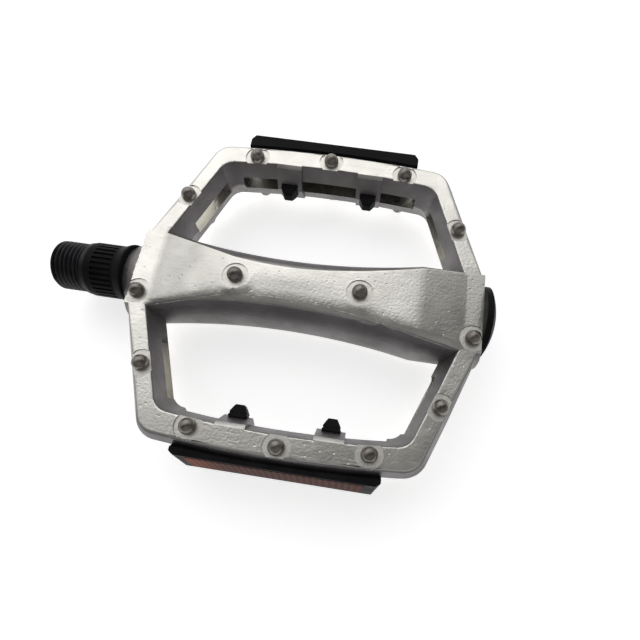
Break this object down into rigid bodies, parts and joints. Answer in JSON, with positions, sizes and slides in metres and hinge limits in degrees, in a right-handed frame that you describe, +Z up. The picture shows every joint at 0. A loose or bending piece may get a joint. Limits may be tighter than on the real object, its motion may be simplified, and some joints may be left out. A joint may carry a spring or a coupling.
{
  "type": "flat platform pedal",
  "caption": "Cast aluminium cage platform pedal that spins on a threaded crank spindle, with domed grip studs on both faces and clip-in reflectors front and rear.",
  "frame": {"origin": "on the spindle's axis at the collar face that seats on the crank arm", "axes": "+X outboard along the spindle to the dust cap, +Y to the rear reflector, +Z up out of the upper studded face"},
  "size_m": [0.1279, 0.1036, 0.0232],
  "materials": {
    "cast_aluminium": "as-cast, lightly polished",
    "black_steel": "black oxide",
    "black_resin": "moulded",
    "seal_rubber": "moulded",
    "bush_bronze": "turned",
    "bearing_steel": "ground",
    "stud_steel": "tumbled",
    "amber_lens": "clear amber with prisms behind"
  },
  "bodies": {
    "spindle_unit": {"spindle": "black_steel", "bearing_inner_ring": "bearing_steel", "bearing_balls": "bearing_steel", "keyed_washer": "bearing_steel", "spindle_locknut": "bearing_steel"},
    "platform": {"platform_body": "cast_aluminium", "lock_sleeve": "black_resin", "inboard_seal": "seal_rubber", "inboard_bush": "bush_bronze", "bearing_outer_ring": "bearing_steel", "dust_cap": "black_resin", "upper_front_studs": "stud_steel", "upper_rear_studs": "stud_steel", "upper_side_studs": "stud_steel", "upper_barrel_studs": "stud_steel", "lower_front_studs": "stud_steel", "lower_rear_studs": "stud_steel", "lower_side_studs": "stud_steel", "lower_barrel_studs": "stud_steel", "front_reflector_housing": "black_resin", "front_reflector_lens": "amber_lens", "rear_reflector_housing": "black_resin", "rear_reflector_lens": "amber_lens"}
  },
  "joints": [
    {"name": "platform_spin", "type": "hinge", "parent": "spindle_unit", "child": "platform", "pos_m": [0, 0, 0], "axis": [1, 0, 0], "continuous": true}
  ]
}
